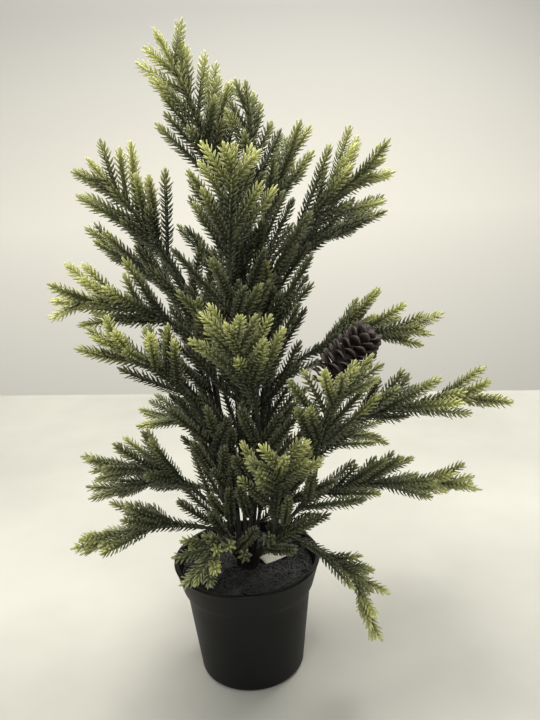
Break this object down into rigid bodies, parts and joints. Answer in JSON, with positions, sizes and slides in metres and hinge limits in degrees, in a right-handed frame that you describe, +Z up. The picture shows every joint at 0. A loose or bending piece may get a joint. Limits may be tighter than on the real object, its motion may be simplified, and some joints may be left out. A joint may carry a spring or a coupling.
{
  "type": "artificial tabletop tree",
  "caption": "Artificial evergreen tabletop tree: bendable moulded sprays on a fan of coated wire stems, with a pine cone, in a weighted round black pot.",
  "frame": {"origin": "centre of the pot's flat underside, on the surface that the tree stands on", "axes": "+Z up along the pot's axis; +X to the viewer's right and +Y away from the viewer, seen from the tree's front"},
  "size_m": [0.3394, 0.2427, 0.5236],
  "materials": {
    "pot_plastic": "matte injection-moulded black",
    "cement": "rough cast cement",
    "black_fibre": "loose shredded black fibre",
    "sleeve_plastic": "black shrink sleeve",
    "wire_coat": "dark brown plastic coat over steel wire",
    "needle_plastic": "moulded polyethylene, dark green inside and yellow-green at the ends",
    "cone_wood": "dried pine cone, dark brown",
    "paper": "uncoated cream card"
  },
  "bodies": {
    "tree_base": {"pot": "pot_plastic", "cement_ballast": "cement", "soil_mat": "black_fibre", "stem_sleeve": "sleeve_plastic", "paper_tag": "paper", "stem_leader": "wire_coat", "stem_crown_back": "wire_coat", "stem_crown_right": "wire_coat", "stem_front_upper": "wire_coat", "stem_upper_left": "wire_coat", "stem_left_back_upper": "wire_coat", "stem_left_long": "wire_coat", "stem_left_mid_front": "wire_coat", "stem_bottom_left": "wire_coat", "stem_bottom_left_front": "wire_coat", "stem_bottom_left_back": "wire_coat", "stem_droop_front": "wire_coat", "stem_upper_right": "wire_coat", "stem_inner_right": "wire_coat", "stem_back_right_upper": "wire_coat", "stem_mid_right": "wire_coat", "stem_centre_front": "wire_coat", "stem_right_long": "wire_coat", "stem_front_right": "wire_coat", "stem_low_front": "wire_coat", "stem_low_right": "wire_coat", "stem_droop_right": "wire_coat", "stem_back_mid": "wire_coat", "stem_back_low_right": "wire_coat", "stem_back_low_left": "wire_coat", "inner_tips_low": "needle_plastic", "inner_tips_middle": "needle_plastic", "inner_tips_top": "needle_plastic"},
    "spray_leader": {"spray_leader": "needle_plastic"},
    "spray_crown_back": {"spray_crown_back": "needle_plastic"},
    "spray_crown_right": {"spray_crown_right": "needle_plastic"},
    "spray_front_upper": {"spray_front_upper": "needle_plastic"},
    "spray_upper_left": {"spray_upper_left": "needle_plastic"},
    "spray_left_back_upper": {"spray_left_back_upper": "needle_plastic"},
    "spray_left_long": {"spray_left_long": "needle_plastic"},
    "spray_left_mid_front": {"spray_left_mid_front": "needle_plastic"},
    "spray_bottom_left": {"spray_bottom_left": "needle_plastic"},
    "spray_bottom_left_front": {"spray_bottom_left_front": "needle_plastic"},
    "spray_bottom_left_back": {"spray_bottom_left_back": "needle_plastic"},
    "spray_droop_front": {"spray_droop_front": "needle_plastic"},
    "spray_upper_right": {"spray_upper_right": "needle_plastic"},
    "spray_inner_right": {"spray_inner_right": "needle_plastic"},
    "spray_back_right_upper": {"spray_back_right_upper": "needle_plastic"},
    "spray_mid_right": {"spray_mid_right": "needle_plastic"},
    "spray_centre_front": {"spray_centre_front": "needle_plastic"},
    "spray_right_long": {"spray_right_long": "needle_plastic"},
    "spray_front_right": {"spray_front_right": "needle_plastic"},
    "spray_low_front": {"spray_low_front": "needle_plastic"},
    "spray_low_right": {"spray_low_right": "needle_plastic"},
    "spray_droop_right": {"spray_droop_right": "needle_plastic"},
    "spray_back_mid": {"spray_back_mid": "needle_plastic"},
    "spray_back_low_right": {"spray_back_low_right": "needle_plastic"},
    "spray_back_low_left": {"spray_back_low_left": "needle_plastic"},
    "cone_pick": {"pine_cone": "cone_wood", "cone_wire": "wire_coat"}
  },
  "joints": [
    {"name": "leader_bend", "type": "hinge", "parent": "tree_base", "child": "spray_leader", "pos_m": [0, 0, 0.395], "axis": [-0.2425, 0.9701, 0], "range_deg": [-12, 3]},
    {"name": "crown_back_bend", "type": "hinge", "parent": "tree_base", "child": "spray_crown_back", "pos_m": [-0.002, 0.027, 0.394], "axis": [0.9818, 0.19, 0], "range_deg": [-12, 3]},
    {"name": "crown_right_bend", "type": "hinge", "parent": "tree_base", "child": "spray_crown_right", "pos_m": [0.014, -0.004, 0.376], "axis": [-0.3162, -0.9487, 0], "range_deg": [-5, 4]},
    {"name": "front_upper_bend", "type": "hinge", "parent": "tree_base", "child": "spray_front_upper", "pos_m": [0, -0.032, 0.351], "axis": [-0.9558, -0.2941, 0], "range_deg": [-12, 8]},
    {"name": "upper_left_bend", "type": "hinge", "parent": "tree_base", "child": "spray_upper_left", "pos_m": [-0.036, -0.012, 0.348], "axis": [-0.2425, 0.9701, 0], "range_deg": [-12, 12]},
    {"name": "left_back_upper_bend", "type": "hinge", "parent": "tree_base", "child": "spray_left_back_upper", "pos_m": [-0.034, 0.022, 0.318], "axis": [0.3846, 0.9231, 0], "range_deg": [-12, 12]},
    {"name": "left_long_bend", "type": "hinge", "parent": "tree_base", "child": "spray_left_long", "pos_m": [-0.03, -0.014, 0.302], "axis": [-0.1215, 0.9926, 0], "range_deg": [-12, 12]},
    {"name": "left_mid_front_bend", "type": "hinge", "parent": "tree_base", "child": "spray_left_mid_front", "pos_m": [-0.034, -0.027, 0.254], "axis": [-0.6603, 0.751, 0], "range_deg": [-12, 12]},
    {"name": "bottom_left_bend", "type": "hinge", "parent": "tree_base", "child": "spray_bottom_left", "pos_m": [-0.034, -0.008, 0.166], "axis": [-0.0476, 0.9989, 0], "range_deg": [-12, 12]},
    {"name": "bottom_left_front_bend", "type": "hinge", "parent": "tree_base", "child": "spray_bottom_left_front", "pos_m": [-0.035, -0.033, 0.152], "axis": [-0.2762, 0.9611, 0], "range_deg": [-12, 12]},
    {"name": "bottom_left_back_bend", "type": "hinge", "parent": "tree_base", "child": "spray_bottom_left_back", "pos_m": [-0.034, 0.026, 0.158], "axis": [0.3511, 0.9363, 0], "range_deg": [-12, 12]},
    {"name": "droop_front_bend", "type": "hinge", "parent": "tree_base", "child": "spray_droop_front", "pos_m": [-0.009, -0.032, 0.138], "axis": [-0.8734, 0.4871, 0], "range_deg": [-6, 10]},
    {"name": "upper_right_bend", "type": "hinge", "parent": "tree_base", "child": "spray_upper_right", "pos_m": [0.044, 0.008, 0.368], "axis": [0.0767, -0.9971, 0], "range_deg": [-12, 10]},
    {"name": "inner_right_bend", "type": "hinge", "parent": "tree_base", "child": "spray_inner_right", "pos_m": [0.026, 0.022, 0.371], "axis": [0.6139, -0.7894, 0], "range_deg": [-12, 9]},
    {"name": "back_right_upper_bend", "type": "hinge", "parent": "tree_base", "child": "spray_back_right_upper", "pos_m": [0.035, 0.03, 0.336], "axis": [0.4353, -0.9003, 0], "range_deg": [-12, 12]},
    {"name": "mid_right_bend", "type": "hinge", "parent": "tree_base", "child": "spray_mid_right", "pos_m": [0.042, 0.004, 0.268], "axis": [-0.0351, -0.9994, 0], "range_deg": [-2, 12]},
    {"name": "centre_front_bend", "type": "hinge", "parent": "tree_base", "child": "spray_centre_front", "pos_m": [0.014, -0.044, 0.246], "axis": [-0.9119, 0.4104, 0], "range_deg": [-12, 4]},
    {"name": "right_long_bend", "type": "hinge", "parent": "tree_base", "child": "spray_right_long", "pos_m": [0.066, -0.03, 0.222], "axis": [-0.2045, -0.9789, 0], "range_deg": [-12, 8]},
    {"name": "front_right_bend", "type": "hinge", "parent": "tree_base", "child": "spray_front_right", "pos_m": [0.056, -0.05, 0.2], "axis": [-0.8682, -0.4961, 0], "range_deg": [-6, 6]},
    {"name": "low_front_bend", "type": "hinge", "parent": "tree_base", "child": "spray_low_front", "pos_m": [0.022, -0.046, 0.16], "axis": [-0.9899, -0.1414, 0], "range_deg": [-12, 4]},
    {"name": "low_right_bend", "type": "hinge", "parent": "tree_base", "child": "spray_low_right", "pos_m": [0.048, -0.01, 0.158], "axis": [-0.2425, -0.9701, 0], "range_deg": [-12, 6]},
    {"name": "droop_right_bend", "type": "hinge", "parent": "tree_base", "child": "spray_droop_right", "pos_m": [0.042, -0.024, 0.13], "axis": [-0.326, -0.9454, 0], "range_deg": [-10, 12]},
    {"name": "back_mid_bend", "type": "hinge", "parent": "tree_base", "child": "spray_back_mid", "pos_m": [0.008, 0.046, 0.276], "axis": [0.9941, -0.1081, 0], "range_deg": [-12, 12]},
    {"name": "back_low_right_bend", "type": "hinge", "parent": "tree_base", "child": "spray_back_low_right", "pos_m": [0.038, 0.042, 0.17], "axis": [0.5892, -0.808, 0], "range_deg": [-12, 12]},
    {"name": "back_low_left_bend", "type": "hinge", "parent": "tree_base", "child": "spray_back_low_left", "pos_m": [-0.016, 0.042, 0.196], "axis": [0.7904, 0.6126, 0], "range_deg": [-12, 12]},
    {"name": "cone_bend", "type": "hinge", "parent": "tree_base", "child": "cone_pick", "pos_m": [0.03654, -0.02002, 0.18375], "axis": [-0.2299, -0.9732, 0], "range_deg": [-3, 3]}
  ]
}
